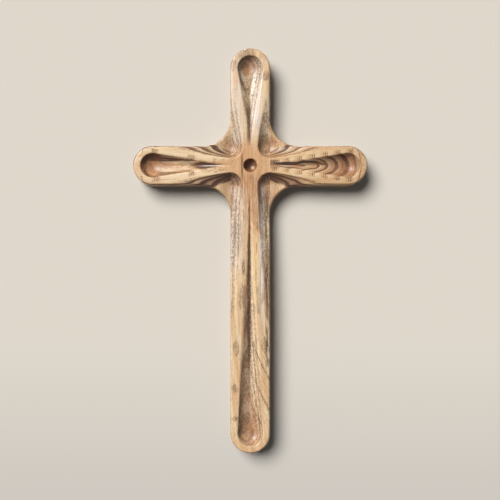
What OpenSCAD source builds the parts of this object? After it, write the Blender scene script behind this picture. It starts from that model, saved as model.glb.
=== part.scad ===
// Carved wall cross: an upright board with two side arms dowelled to its sides,
// flutes and scallops carved in the front, and a recessed keyhole plate in the back.
// X runs to the right, Z up and Y into the wall. The back plane is at Y = 0 and the
// origin is where the shank of the wall screw sits, at the top of the keyhole.

/* [Cross] */
// Height from the foot's end to the head's end
cross_h = 280; // [240:1:340]
// Width across both side arms
cross_w = 162; // [150:1:200]
// Height of the head above the crossing's centre
head_l = 81; // [76:1:100]
// Thickness of the wood
board_t = 18; // [17:0.5:26]
// Width of the upright
upright_w = 27.5; // [27:0.5:32]
// Height of the side arms
arm_w = 27; // [25:0.5:32]
// Radius of the four inner corners
corner_r = 20; // [14:0.5:24]
// Thickness of an arm's wood where it runs out at an inner corner
corner_tip_t = 0.3; // [0.2:0.1:0.8]

/* [Flutes] */
// Flat rim round the bowl at the end of each flute
rim_w = 5; // [4:0.25:7]
// Depth of each bowl
bowl_depth = 5.5; // [3:0.25:7]
// Height of the V's deep end above the bowl's floor
valley_step = 0.2; // [0.1:0.05:0.5]
// Distance from the crossing's centre to the tip of a side flute
side_tip = 13; // [9:0.5:20]
// Distance from the crossing's centre to the tip of the head flute
head_tip = 14; // [9:0.5:20]
// Distance from the crossing's centre to the tip of the foot flute
foot_tip = 22; // [9:0.5:40]
// Radius of the round hollow at the crossing's centre
hollow_r = 4.7; // [3:0.1:5]

/* [Scallops] */
// Radius of the round-nosed cutter
cutter_r = 9.5; // [8.5:0.25:10]
// Depth of the scallops at the inner corners
scallop_depth = 5.5; // [4:0.25:6]
// Distance from the crossing's centre at which a side scallop runs out
side_reach = 52; // [40:1:60]
// Distance from the crossing's centre at which a head scallop runs out
head_reach = 56; // [40:1:60]
// Distance from the crossing's centre at which a foot scallop runs out
foot_reach = 124; // [80:1:150]

/* [Dowels] */
// Diameter of the dowels
dowel_d = 6; // [5:0.5:8]
// Length of the dowels
dowel_l = 30; // [24:1:36]
// Length of each dowel that lies in the upright
dowel_in = 11.5; // [8:0.5:12]
// Height between the two dowels of one arm
dowel_gap = 15; // [10:1:18]
// Distance from the back of the wood to the dowels' axes
dowel_back = 6.5; // [5:0.25:7.5]
// Radius that each dowel hole is wider than its dowel
dowel_fit = 0.05; // [0.02:0.01:0.2]
// Room at the blind end of each dowel hole
dowel_end_room = 1; // [0.5:0.25:1.5]

/* [Keyhole plate] */
// Height of the plate
plate_l = 44; // [42:1:56]
// Width of the plate
plate_w = 16; // [14:0.5:20]
// Thickness of the plate
plate_t = 1.5; // [1:0.1:2]
// Distance from the head's end down to the seat of the wall screw
seat_drop = 26; // [24:1:30]
// Height of the seat above the plate's centre
seat_rise = 5; // [3:0.5:6]
// Height of the seat above the centre of the round entry
slot_l = 10; // [9:0.5:11]
// Width of the slot that takes the shank of the wall screw
slot_w = 4.6; // [3:0.1:5]
// Radius of the round entry that takes the head of the wall screw
entry_r = 4.75; // [4.25:0.25:5.25]
// Room round the entry in the pocket behind the plate
pocket_room = 0.5; // [0.25:0.25:1]
// Depth of the pocket behind the plate
pocket_depth = 4.5; // [4.25:0.25:5]
// Gap between the plate's edge and its recess
plate_fit = 0.2; // [0.1:0.05:0.4]
// Depth of the plate's back below the back of the wood
plate_sink = 0.2; // [0.1:0.05:0.4]

/* [Plate screws] */
// Distance between the two screws
screw_span = 34; // [33:1:42]
// Diameter of a screw's head
screw_head_d = 6; // [5:0.25:7]
// Height of a screw's cone
screw_head_h = 1.4; // [1:0.1:1.5]
// Diameter of a screw's shank
screw_d = 3; // [2.5:0.1:3.5]
// Length of a screw under its cone
screw_l = 8; // [6:0.5:9]
// Height of a screw's point
screw_point_h = 2; // [1:0.25:3]
// Gap round a screw in its hole
screw_fit = 0.05; // [0.02:0.01:0.1]
// Length of the cross recess in a screw's head
recess_l = 3; // [2:0.1:4]
// Width of the cross recess
recess_w = 0.8; // [0.6:0.1:1]
// Depth of the cross recess
recess_depth = 1; // [0.6:0.1:1.2]

/* [Hidden] */
$fn = 96;

// How far every cut runs past the surface that it opens
overrun = 1;
wood = "burlywood";
dowel_wood = "tan";
steel = "silver";

foot_l = cross_h - head_l;
side_l = cross_w / 2;
upright_half = upright_w / 2;
arm_half = arm_w / 2;
front = -board_t;
crossing_z = seat_drop - head_l;
corner_run = corner_r - sqrt(pow(corner_r, 2) - pow(corner_r - corner_tip_t, 2));
dowel_r = dowel_d / 2;
plate_y = -plate_sink;
recess_y = plate_y - plate_t;
pocket_r = entry_r + pocket_room;
plate_z = -seat_rise;

// Puts what is drawn round the crossing's centre, with Z up, at its place above the foot
module at_crossing() {
    translate([0, 0, crossing_z]) children();
}

// Raises an outline drawn in X and Z through the board, from the front to the back
module board(outline_t = board_t) {
    rotate([90, 0, 0]) linear_extrude(outline_t) children();
}

// The upright from the front: a strip with round ends
module upright_outline() {
    translate([-upright_half, upright_half - foot_l]) square([upright_w, cross_h - upright_w]);
    translate([0, head_l - upright_half]) circle(r = upright_half);
    translate([0, upright_half - foot_l]) circle(r = upright_half);
}

// The right arm from the front: a strip with a round end, and the two inner corners
module arm_outline() {
    translate([upright_half, -arm_half]) square([side_l - arm_half - upright_half, arm_w]);
    translate([side_l - arm_half, 0]) circle(r = arm_half);
    difference() {
        translate([upright_half, -arm_half - corner_run]) square([corner_r, arm_w + 2 * corner_run]);
        for (side = [-1, 1])
            translate([upright_half + corner_r, side * (arm_half + corner_r)]) circle(r = corner_r);
    }
}

// One flute, cut along +X into the face at Z = 0: a V that widens from its tip to a
// round bowl. The V is a pyramid that stands on its point under the bowl's centre, and
// it is drawn a little too tall, so that it opens the face.
module flute(tip, end, half) {
    bowl_r = half - rim_w;
    bowl_x = end - half;
    ball_r = (pow(bowl_r, 2) + pow(bowl_depth, 2)) / (2 * bowl_depth);
    spread = asin(bowl_r / (bowl_x - tip));
    rim_x = -bowl_r * sin(spread);
    rim_y = bowl_r * cos(spread);
    valley_depth = bowl_depth - valley_step;
    grow_share = (valley_depth + overrun) / valley_depth;
    translate([bowl_x, 0, ball_r - bowl_depth]) sphere(r = ball_r);
    translate([bowl_x, 0, -valley_depth])
        scale(grow_share)
            polyhedron(
                points = [[0, 0, 0], [tip - bowl_x, 0, valley_depth],
                          [rim_x, rim_y, valley_depth], [rim_x, -rim_y, valley_depth]],
                faces = [[1, 2, 3], [0, 2, 1], [0, 3, 2], [0, 1, 3]]);
}

// One pass of the round-nosed cutter along +X, from full depth at x = 0 to where it
// leaves the face at the reach
module cutter_pass(reach) {
    rise = atan2(scallop_depth, reach);
    pass_l = norm([scallop_depth, reach]);
    translate([0, 0, cutter_r - scallop_depth]) rotate([0, 90 - rise, 0]) rotate_extrude() {
        square([cutter_r, pass_l]);
        intersection() {
            circle(r = cutter_r);
            translate([0, -cutter_r]) square(cutter_r);
        }
    }
}

// The scallop at the inner corner between the +X arm and the +Y arm: a pass along each
// arm's edge, both from the same deepest place
module scallop(y_reach) {
    translate([upright_half, arm_half]) {
        cutter_pass(side_reach - upright_half);
        rotate(90) cutter_pass(y_reach - arm_half);
    }
}

// What is carved in the front of the right arm, drawn on the face at Z = 0
module side_carving() {
    flute(side_tip, side_l, arm_half);
    scallop(head_reach);
    mirror([0, 1]) scallop(foot_reach);
}

// What is carved in the front of the upright
module upright_carving() {
    rotate(90) flute(head_tip, head_l, upright_half);
    rotate(-90) flute(foot_tip, foot_l, upright_half);
    for (side = [0, 1]) mirror([side, 0]) {
        scallop(head_reach);
        mirror([0, 1]) scallop(foot_reach);
    }
    sphere(r = hollow_r);
}

// Turns a drawing on the face at Z = 0 to stand in the front of the board
module on_front() {
    translate([0, front, 0]) rotate([90, 0, 0]) children();
}

module dowel_place(side, level) {
    translate([side * (upright_half - dowel_in), -dowel_back, level * dowel_gap / 2])
        rotate([0, side * 90, 0]) children();
}

module dowel_hole(side, level) {
    dowel_place(side, level)
        translate([0, 0, -dowel_end_room])
            cylinder(r = dowel_r + dowel_fit, h = dowel_l + 2 * dowel_end_room);
}

module dowel(side, level) {
    color(dowel_wood) at_crossing() dowel_place(side, level) cylinder(r = dowel_r, h = dowel_l);
}

// The two screw places, with +Z pointing out of the back
module screw_places() {
    for (end = [-1, 1])
        translate([0, plate_y, plate_z + end * screw_span / 2]) rotate([-90, 0, 0]) children();
}

// A screw with its head level with Z = 0, made larger all round by the given gap
module screw_body(gap) {
    shank_r = screw_d / 2 + gap;
    head_r = screw_head_d / 2 + gap;
    translate([0, 0, -screw_head_h]) {
        cylinder(r1 = shank_r, r2 = head_r, h = screw_head_h);
        translate([0, 0, screw_point_h - screw_l]) cylinder(r = shank_r, h = screw_l - screw_point_h);
        translate([0, 0, -screw_l]) cylinder(r1 = gap, r2 = shank_r, h = screw_point_h);
    }
}

// A strip with round ends, from the back view, standing from one height to another
module long_hole(low, high, r) {
    translate([-r, low]) square([2 * r, high - low]);
    translate([0, low]) circle(r = r);
    translate([0, high]) circle(r = r);
}

module plate_outline(gap) {
    long_hole(plate_z - (plate_l - plate_w) / 2, plate_z + (plate_l - plate_w) / 2, plate_w / 2 + gap);
}

module plate_recess() {
    translate([0, overrun, 0]) board(overrun - recess_y) plate_outline(plate_fit);
    translate([0, recess_y + overrun, 0]) board(pocket_depth + overrun) long_hole(-slot_l, 0, pocket_r);
    screw_places() screw_body(screw_fit);
}

module upright() {
    color(wood) difference() {
        at_crossing() board() upright_outline();
        at_crossing() on_front() upright_carving();
        at_crossing() for (side = [-1, 1], level = [-1, 1]) dowel_hole(side, level);
        plate_recess();
    }
}

module right_arm() {
    color(wood) difference() {
        at_crossing() board() arm_outline();
        at_crossing() on_front() side_carving();
        at_crossing() for (level = [-1, 1]) dowel_hole(1, level);
    }
}

module left_arm() {
    mirror([1, 0, 0]) right_arm();
}

module keyhole_plate() {
    color(steel) difference() {
        translate([0, plate_y, 0]) board(plate_t) plate_outline(0);
        translate([0, plate_y + overrun, 0]) board(plate_t + 2 * overrun) {
            translate([0, -slot_l]) circle(r = entry_r);
            long_hole(-slot_l, 0, slot_w / 2);
        }
        screw_places() screw_body(screw_fit);
    }
}

module hanger_screws() {
    color(steel) screw_places() difference() {
        screw_body(0);
        for (turn = [0, 90])
            rotate(turn) translate([-recess_l / 2, -recess_w / 2, -recess_depth])
                cube([recess_l, recess_w, recess_depth + overrun]);
    }
}

upright();
left_arm();
right_arm();
dowel(-1, 1);  // upper_left_dowel
dowel(-1, -1);  // lower_left_dowel
dowel(1, 1);  // upper_right_dowel
dowel(1, -1);  // lower_right_dowel
keyhole_plate();
hanger_screws();
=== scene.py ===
# %% [markdown]
# # A carved wooden wall cross
# The cross is three blocks of open-grained wood: an upright with vertical grain, and two side arms
# with horizontal grain that are glued and dowelled to its sides. Its front is carved with a
# round-nosed cutter and a V tool, and a keyhole plate is let into its back. The construction comes
# from the packed model, which is loaded first and never moved. This script carves the finer front
# surface and gives every piece its finish.

import math

import bmesh
import bpy
import numpy as np
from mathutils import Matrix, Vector
from mathutils.geometry import delaunay_2d_cdt


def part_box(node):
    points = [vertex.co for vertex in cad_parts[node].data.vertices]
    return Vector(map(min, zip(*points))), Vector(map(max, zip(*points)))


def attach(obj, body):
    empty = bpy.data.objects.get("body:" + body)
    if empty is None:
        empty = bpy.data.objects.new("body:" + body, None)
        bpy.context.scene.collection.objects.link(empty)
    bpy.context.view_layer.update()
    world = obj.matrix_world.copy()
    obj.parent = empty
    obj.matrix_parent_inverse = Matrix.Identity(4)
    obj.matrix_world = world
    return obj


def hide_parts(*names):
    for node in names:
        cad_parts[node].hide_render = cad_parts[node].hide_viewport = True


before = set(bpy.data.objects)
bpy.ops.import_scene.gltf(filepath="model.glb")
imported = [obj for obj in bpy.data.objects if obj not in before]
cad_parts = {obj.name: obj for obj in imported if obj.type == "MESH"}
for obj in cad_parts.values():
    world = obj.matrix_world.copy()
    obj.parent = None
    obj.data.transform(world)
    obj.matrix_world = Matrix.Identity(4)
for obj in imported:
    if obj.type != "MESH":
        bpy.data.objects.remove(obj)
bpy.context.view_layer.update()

# %% [markdown]
# All sizes below are in millimetres, because a woodworker thinks in them, and MM turns them into
# Blender's metres. The big ones are read from the frame, so that the carved wood always has the
# size of the model: X runs to the right, Z up, and the face of the wood looks along -Y. Heights on
# the face are counted from the crossing's centre.

# %% Sizes of the wood
MM = 0.001


def box_mm(node):
    """A node's lowest and highest corner."""
    return [np.array(corner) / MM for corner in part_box(node)]


upright_lo, upright_hi = box_mm("upright")
arm_lo, arm_hi = box_mm("right_arm")

BOARD = upright_hi[1] - upright_lo[1]
CROSSING = (arm_lo[2] + arm_hi[2]) / 2
UPRIGHT_HALF = upright_hi[0]
HEAD = upright_hi[2] - CROSSING
FOOT = CROSSING - upright_lo[2]
SIDE = arm_hi[0]
ARM_HALF = 13.5
CORNER_R = 20.0
CORNER_RUN = arm_hi[2] - CROSSING - ARM_HALF
print(f"board {BOARD:.1f} thick, head {HEAD:.1f}, foot {FOOT:.1f}, side {SIDE:.1f} mm")

# %% [markdown]
# A flat rim stays round each bowl. A flute is a sharp V at its tip and, from a share of its length
# on, a round trough. A scallop is deepest where the cutter sinks in, and REACH is how far from the
# centre it ends. Sandpaper rounds the outer edge most, then the arrises, then where two cuts meet.

# %% Sizes of the carving
RIM = 5.0
BOWL_R = ARM_HALF - RIM
BOWL_DEPTH = 5.5
VALLEY_DEPTH = 5.3
VALLEY_ROUND = 0.15
TIP = {"side": 13.0, "head": 14.0, "foot": 22.0}
ROUND_FROM = {"side": 0.3, "head": 0.45, "foot": 0.6}
ROUND_BY = 0.95
HOLLOW_R = 4.7
CUTTER_R = 9.5
SCALLOP_DEPTH = 5.5
LEAVING = 1.6
REACH = {"side": 52.0, "head": 56.0, "foot": 124.0}
EDGE_ROUND = 1.5
ARRIS_ROUND = 0.7
PASS_ROUND = 0.5
print(f"an arm's bowl is {2 * BOWL_R:.1f} mm wide and {BOWL_DEPTH} mm deep")

# %% [markdown]
# The front of the wood is one surface, so it can be written as a depth below the face for every
# place on it. Each cut gives its own depth, which is negative where the cutter would be in the air.
# The deepest cut wins. A soft maximum takes the place of a hard one, because sandpaper rounds every
# arris between a cut and the face.

# %% Depth of one cut
OUTSIDE = -99.0
LEAST_SHARE, LEAST_WIDTH, JUST_INSIDE = 0.001, 0.01, 0.999
TIP_SLOPE, HOLLOW_SLOPE = 0.3, 3.0


def soft_max(a, b, width):
    """The larger of a and b, rounded where they are nearer to each other than the width."""
    near = np.maximum(width - np.abs(a - b), 0) / width
    return np.maximum(a, b) + near * near * width / 4


def ball_depth(radius, lowest, distance):
    """Depth of a ball's cut whose lowest point is that deep, at a distance from its middle."""
    inside = np.maximum(radius**2 - distance**2, 0)
    return np.where(distance < radius, np.sqrt(inside) - radius + lowest, OUTSIDE)


def smooth(value, low, high):
    """Goes smoothly from 0 at low to 1 at high."""
    share = np.clip((value - low) / (high - low), 0, 1)
    return share * share * (3 - 2 * share)


# %% A flute
def flute_depth(along, across, limb, end, half):
    """A V that widens from its tip, turns into a round trough from a share of its length on, and
    ends in a round bowl, which shares its centre with the limb's end."""
    tip, bowl_r, bowl_at = TIP[limb], half - RIM, end - half
    spread = math.asin(bowl_r / (bowl_at - tip))
    rim_at = bowl_at - bowl_r * math.sin(spread)
    share = np.clip((along - tip) / (bowl_at - tip), LEAST_SHARE, 1)
    straight = share * (bowl_at - tip) * math.tan(spread)
    curved = np.sqrt(np.maximum(bowl_r**2 - (along - bowl_at) ** 2, LEAST_WIDTH**2))
    width = np.where(along < rim_at, straight, curved)
    lowest = share * VALLEY_DEPTH
    valley = lowest * (1 - np.hypot(across, VALLEY_ROUND) / width)
    trough_r = (width**2 + lowest**2) / (2 * lowest)
    trough = ball_depth(trough_r, lowest, np.minimum(np.abs(across), trough_r * JUST_INSIDE))
    rounding = smooth(share, ROUND_FROM[limb], ROUND_BY)
    sunk = np.where(along < bowl_at, valley * (1 - rounding) + trough * rounding, OUTSIDE)
    sunk = sunk - np.maximum(tip - along, 0) * TIP_SLOPE
    ball_r = (bowl_r**2 + BOWL_DEPTH**2) / (2 * BOWL_DEPTH)
    bowl = ball_depth(ball_r, BOWL_DEPTH, np.hypot(along - bowl_at, across))
    return soft_max(bowl, sunk, PASS_ROUND)


# %% A scallop
def scallop_depth(beside, above, side_reach, end_reach):
    """A round-nosed cutter sinks in where two edges would cross, and leaves along both of them.
    Beside and above count from that place. Its floor stays flat out to the round inner corner."""
    out = np.hypot(np.maximum(beside, 0) / side_reach, np.maximum(above, 0) / end_reach)
    left = np.maximum(1 - out, 0) ** LEAVING - np.maximum(out - 1, 0)
    distance = np.hypot(np.minimum(beside, 0), np.minimum(above, 0))
    return ball_depth(CUTTER_R, SCALLOP_DEPTH * left, distance)


print(f"the scallop is {float(scallop_depth(*np.zeros((2, 1)), 1, 1)[0]):.1f} mm deep at its deepest")

# %% [markdown]
# Now all cuts come together: a flute in each limb, and at each inner corner a scallop, which leaves
# along both edges from its one deep place. The round hollow sits in the middle. The left and right
# halves mirror each other, so the distance from the upright's axis is enough.


# %% Depth of the whole front
def inner_distance(x, high):
    """How far a place on the face lies inside the cross's outline."""
    x, level = np.abs(x), np.abs(high)
    corner_x, corner_level = UPRIGHT_HALF + CORNER_R, ARM_HALF + CORNER_R
    corner = np.hypot(x - corner_x, level - corner_level) - CORNER_R
    past_end = np.maximum(x - (SIDE - ARM_HALF), 0)
    arm = ARM_HALF - np.hypot(past_end, level)
    past_top = np.maximum(high - (HEAD - UPRIGHT_HALF), 0)
    past_foot = np.maximum(UPRIGHT_HALF - FOOT - high, 0)
    upright = UPRIGHT_HALF - np.hypot(x, past_top + past_foot)
    by_corner = (x < corner_x) & (level < corner_level)
    return np.where(by_corner, corner, np.maximum(arm, upright))


# %% The deepest cut
def cut_depth(x, high):
    """The deepest cut at each place, negative where no cutter reaches the face."""
    x, level = np.abs(x), np.abs(high)
    hollow = np.hypot(x, level)
    in_air = HOLLOW_SLOPE * (HOLLOW_R - hollow)
    deepest = np.where(hollow < HOLLOW_R, ball_depth(HOLLOW_R, HOLLOW_R, hollow), in_air)
    side_reach = REACH["side"] - UPRIGHT_HALF
    end_reach = np.where(high > 0, REACH["head"], REACH["foot"]) - ARM_HALF
    depths = [
        flute_depth(x, high, "side", SIDE, ARM_HALF),
        flute_depth(high, x, "head", HEAD, UPRIGHT_HALF),
        flute_depth(-high, x, "foot", FOOT, UPRIGHT_HALF),
        scallop_depth(x - UPRIGHT_HALF, level - ARM_HALF, side_reach, end_reach),
    ]
    for depth in depths:
        deepest = soft_max(deepest, depth, PASS_ROUND)
    return deepest


def front_depth(x, high):
    """Depth of the finished front below the face, with its arrises and its outer edge rounded."""
    carved = soft_max(cut_depth(x, high), 0, ARRIS_ROUND)
    near_edge = EDGE_ROUND - np.clip(inner_distance(x, high), 0, EDGE_ROUND)
    return carved + EDGE_ROUND - np.sqrt(EDGE_ROUND**2 - near_edge**2)


print(f"the hollow is {float(front_depth(np.zeros(1), np.zeros(1))[0]):.2f} mm deep")

# %% [markdown]
# Each block starts as its outline seen from the front. The outline is a list of points about half a
# millimetre apart, with the way inward at each point, so that rings of points can follow it. Those
# rings carry the rounded edge, which a plain grid would leave ragged.

# %% Outlines of the blocks
STEP = 0.55


def line(start, end, inward):
    """Points from start up to but not including end, each with the same inward direction."""
    count = max(1, round(math.dist(start, end) / STEP))
    share = np.arange(count)[:, None] / count
    points = np.array(start) * (1 - share) + np.array(end) * share
    return np.hstack([points, np.tile(inward, (count, 1))])


def arc(centre, radius, start, end, hollow=False):
    """Points on an arc from one angle to another, in degrees. A hollow arc curves into the wood."""
    count = max(2, round(abs(math.radians(end - start)) * radius / STEP))
    angle = np.radians(start + (end - start) * np.arange(count) / count)
    outward = np.stack([np.cos(angle), np.sin(angle)], axis=1)
    return np.hstack([np.array(centre) + radius * outward, outward if hollow else -outward])


# %% Outline of each block
def upright_outline():
    """The upright: its right side, its round head, its left side and its round foot."""
    top, bottom = HEAD - UPRIGHT_HALF, UPRIGHT_HALF - FOOT
    return np.vstack(
        [
            line((UPRIGHT_HALF, bottom), (UPRIGHT_HALF, top), (-1, 0)),
            arc((0, top), UPRIGHT_HALF, 0, 180),
            line((-UPRIGHT_HALF, top), (-UPRIGHT_HALF, bottom), (1, 0)),
            arc((0, bottom), UPRIGHT_HALF, 180, 360),
        ]
    )


def arm_outline():
    """The right arm: its joint, the lower inner corner, the strip's round end, the upper corner."""
    corner_x, corner_level = UPRIGHT_HALF + CORNER_R, ARM_HALF + CORNER_R
    tip_level = ARM_HALF + CORNER_RUN
    tip_angle = math.asin((corner_level - tip_level) / CORNER_R)
    tip_x = corner_x - CORNER_R * math.cos(tip_angle)
    turn = math.degrees(tip_angle)
    end_x = SIDE - ARM_HALF
    joint = (0, 0)
    return np.vstack(
        [
            line((UPRIGHT_HALF, tip_level), (UPRIGHT_HALF, -tip_level), joint),
            line((UPRIGHT_HALF, -tip_level), (tip_x, -tip_level), joint),
            arc((corner_x, -corner_level), CORNER_R, 180 - turn, 90, hollow=True),
            line((corner_x, -ARM_HALF), (end_x, -ARM_HALF), (0, 1)),
            arc((end_x, 0), ARM_HALF, -90, 90),
            line((end_x, ARM_HALF), (corner_x, ARM_HALF), (0, -1)),
            arc((corner_x, corner_level), CORNER_R, 270, 180 + turn, hollow=True),
            line((tip_x, tip_level), (UPRIGHT_HALF, tip_level), joint),
        ]
    )


print("outline points", len(upright_outline()), "and", len(arm_outline()))

# %% [markdown]
# The front surface is a triangle mesh over those points and a grid of points inside them. The grid
# is fine where the surface bends, which is at the arrises and along the valleys, and coarse where
# it is nearly flat. Every second row is shifted by half a step, which gives even triangles.

# %% Points on the front
FINE, COARSE = 0.4, 0.95
RING_SHARES = (0.08, 0.25, 0.5, 0.75, 1.0)
RING_GAP = 0.6
BENDING = 0.8


def grid(low, high, step):
    """A grid of points between two corners, with every second row shifted."""
    rows = np.arange(low[1], high[1], step * math.sqrt(3) / 2)
    columns = np.arange(low[0], high[0], step)
    x, y = np.meshgrid(columns, rows)
    x = x + np.where(np.arange(len(rows)) % 2, step / 2, 0)[:, None]
    return np.stack([x.ravel(), y.ravel()], axis=1)


def inside_block(points, block, margin):
    """Which points lie inside a block's own outline, at least the margin from its edge."""
    x, high = points.T
    clear = inner_distance(x, high) > margin
    if block == "upright":
        return clear & (np.abs(x) < UPRIGHT_HALF - margin)
    in_corners = np.abs(high) < ARM_HALF + CORNER_RUN - margin
    return clear & in_corners & (x > UPRIGHT_HALF + margin)


# %% Rings and grids
def bends(points):
    """Which points lie on an arris or in a valley."""
    x, level = points.T
    arris = np.abs(cut_depth(x, level)) < BENDING
    return arris | (np.minimum(np.abs(x), np.abs(level)) < BENDING)


def front_points(outline, block):
    """Rings along the outline, then a fine grid where the surface bends and a coarse one elsewhere."""
    low, high = outline[:, :2].min(axis=0), outline[:, :2].max(axis=0)
    rings = [outline[:, :2] + outline[:, 2:] * EDGE_ROUND * share for share in RING_SHARES]
    rings = np.vstack(rings)
    rings = rings[inside_block(rings, block, EDGE_ROUND * RING_SHARES[0] / 2)]
    start = EDGE_ROUND + FINE * RING_GAP
    grids = [grid(low, high, step) for step in (FINE, COARSE)]
    fine, coarse = (points[inside_block(points, block, start)] for points in grids)
    return np.vstack([rings, fine[bends(fine)], coarse[~bends(coarse)]])


# %% [markdown]
# A block is closed like this: the front surface bends over the outline's edge into straight sides,
# which end in a small chamfer round a flat back. The joint faces are part of the sides.

# %% Build a closed block
BACK_CHAMFER = 0.5
SHARP = 40
FILLED, MERGING = 1, 1e-7


def triangles(points, count):
    """Triangles over the points, inside the outline that the first count of them makes."""
    outline = [list(range(count))]
    found = delaunay_2d_cdt([Vector(point) for point in points], [], outline, FILLED, MERGING)
    print(f"{len(points)} points in, {len(found[0])} out, {len(found[2])} triangles")
    return np.array([tuple(point) for point in found[0]]), [tuple(face) for face in found[2]]


# %% A closed surface
def in_frame(flat, y):
    """Places on the face as points in the frame, at one Y or at one each."""
    return np.stack([flat[:, 0], np.broadcast_to(y, len(flat)), flat[:, 1] + CROSSING], axis=1)


def side_faces(first, count):
    """Faces from the front's edge to the waist, and on over the chamfer to the heel."""
    faces = []
    for i in range(count):
        j = (i + 1) % count
        faces.append((i, first + i, first + j, j))
        faces.append((first + i, first + count + i, first + count + j, first + j))
    return faces


def add_object(name, data):
    """A new object in the scene."""
    made = bpy.data.objects.new(name, data)
    bpy.context.scene.collection.objects.link(made)
    return made


# %% The three blocks
def build_block(name, block, outline, mirrored=False):
    """One block of wood as a closed mesh in the frame."""
    count, rim = len(outline), outline[:, :2]
    flat, faces = triangles(np.vstack([rim, front_points(outline, block)]), count)
    front = in_frame(flat, front_depth(*flat.T) - BOARD)
    fade = 1.0 if block == "upright" else np.clip(rim[:, :1] - UPRIGHT_HALF, 0, 1)
    inset = rim + outline[:, 2:] * BACK_CHAMFER * fade
    points = np.vstack([front, in_frame(rim, -BACK_CHAMFER), in_frame(inset, 0.0)]) * MM
    if mirrored:
        points[:, 0] *= -1
    heel = len(front) + count
    back = [tuple(heel + i for i in reversed(face)) for face in triangles(inset, count)[1]]
    mesh = bpy.data.meshes.new(name)
    mesh.from_pydata(points.tolist(), [], faces + side_faces(len(front), count) + back)
    shape = bmesh.new()
    shape.from_mesh(mesh)
    bmesh.ops.recalc_face_normals(shape, faces=shape.faces)
    open_edges = sum(not edge.is_manifold for edge in shape.edges)
    shape.to_mesh(mesh)
    shape.free()
    print(f"{name}: {len(mesh.vertices)} points, {len(mesh.polygons)} faces, {open_edges} open edges")
    return add_object(name, mesh)


carved = {
    "upright": build_block("carved_upright", "upright", upright_outline()),
    "right_arm": build_block("carved_right_arm", "arm", arm_outline()),
    "left_arm": build_block("carved_left_arm", "arm", arm_outline(), mirrored=True),
}

# %% [markdown]
# The back of the upright has a recess for the keyhole plate, with a deeper pocket behind the slot
# for the head of the wall screw, and each joint has two dowel holes. The cutters take their places
# from the model's own plate and dowels. A Boolean modifier cuts them out, and is then applied.

# %% Cutters for the hidden holes
PLATE_GAP = 0.2
POCKET_R = 5.25
POCKET_DEPTH = 4.5
DOWEL_GAP = 0.05
DOWEL_ROOM = 1.0
SEAT_LOW = -10.0
OVERRUN = 1.0
ROUND_STEPS = 48


def long_round(low, high, radius):
    """Points of a strip with round ends, standing from one height to another."""
    angle = np.radians(np.arange(ROUND_STEPS) * 360 / ROUND_STEPS + 180 / ROUND_STEPS)
    end = np.where(np.sin(angle) > 0, high, low)
    return np.stack([radius * np.cos(angle), end + radius * np.sin(angle)], axis=1)


def standing(a, b, t):
    """A drawing on the back plane, raised into the wood."""
    return Vector((a, t, b))


def lying(a, b, t):
    """A drawing on a joint's plane, raised along the arm."""
    return Vector((t, a, b))


def prism(shape, outline, start, end, place):
    """Adds a closed prism to the bmesh: an outline drawn in two axes and raised along the third."""
    rings = [[shape.verts.new(place(a, b, t) * MM) for a, b in outline] for t in (start, end)]
    count = len(outline)
    for i in range(count):
        j = (i + 1) % count
        shape.faces.new((rings[0][i], rings[0][j], rings[1][j], rings[1][i]))
    shape.faces.new(rings[0])
    shape.faces.new(rings[1])


# %% Shapes of the holes
def dowel_holes(shape, nodes):
    """A round hole for each dowel, a little wider and longer than it."""
    for node in nodes:
        lo, hi = box_mm(node)
        circle = long_round(0, 0, (hi[2] - lo[2]) / 2 + DOWEL_GAP) + (lo[1:] + hi[1:]) / 2
        prism(shape, circle, lo[0] - DOWEL_ROOM, hi[0] + DOWEL_ROOM, lying)


def plate_recess(shape):
    """The recess that the keyhole plate lies in."""
    lo, hi = box_mm("keyhole_plate")
    half = (hi[0] - lo[0]) / 2
    outline = long_round(lo[2] + half, hi[2] - half, half + PLATE_GAP)
    prism(shape, outline, lo[1], OVERRUN, standing)


def head_pocket(shape):
    """The pocket for the wall screw's head, under the plate's slot."""
    deep = box_mm("keyhole_plate")[0][1] - POCKET_DEPTH
    prism(shape, long_round(SEAT_LOW, 0, POCKET_R), deep, OVERRUN / 2, standing)


# %% Cut the holes
def cut(piece, fill, *values):
    """Cuts what fill draws out of a piece, and leaves a plain mesh."""
    shape = bmesh.new()
    fill(shape, *values)
    bmesh.ops.recalc_face_normals(shape, faces=shape.faces)
    mesh = bpy.data.meshes.new("cutter")
    shape.to_mesh(mesh)
    shape.free()
    cutter = add_object("cutter", mesh)
    tool = piece.modifiers.new("holes", "BOOLEAN")
    tool.operation, tool.solver, tool.object = "DIFFERENCE", "EXACT", cutter
    graph = bpy.context.evaluated_depsgraph_get()
    done = bpy.data.meshes.new_from_object(piece.evaluated_get(graph))
    piece.modifiers.clear()
    piece.data = done
    bpy.data.objects.remove(cutter)
    print(f"{piece.name}: {len(done.polygons)} faces after {fill.__name__}")


DOWELS = [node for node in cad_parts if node.endswith("_dowel")]
cut(carved["upright"], dowel_holes, DOWELS)
cut(carved["upright"], plate_recess)
cut(carved["upright"], head_pocket)
for side in ("left", "right"):
    cut(carved[f"{side}_arm"], dowel_holes, [node for node in DOWELS if side in node])

# %% [markdown]
# Sanded wood is smooth, but its sides meet its back and its joints in true edges. So the faces are
# shaded as one surface, and only edges that turn by more than the sharp angle stay sharp.

# %% Smooth the surfaces
for piece in carved.values():
    piece.data.shade_smooth()
    piece.data.set_sharp_from_angle(angle=math.radians(SHARP))
    print(f"{piece.name}: {sum(edge.use_edge_sharp for edge in piece.data.edges)} sharp edges")

# %% [markdown]
# Shader maths reads best as ordinary sums. The class below wraps one output socket, and its
# operators add Math nodes, so `1 - mask` is a wire as well. Every other node comes from `node`,
# which takes the node's type, its settings and what goes into its sockets.


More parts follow.
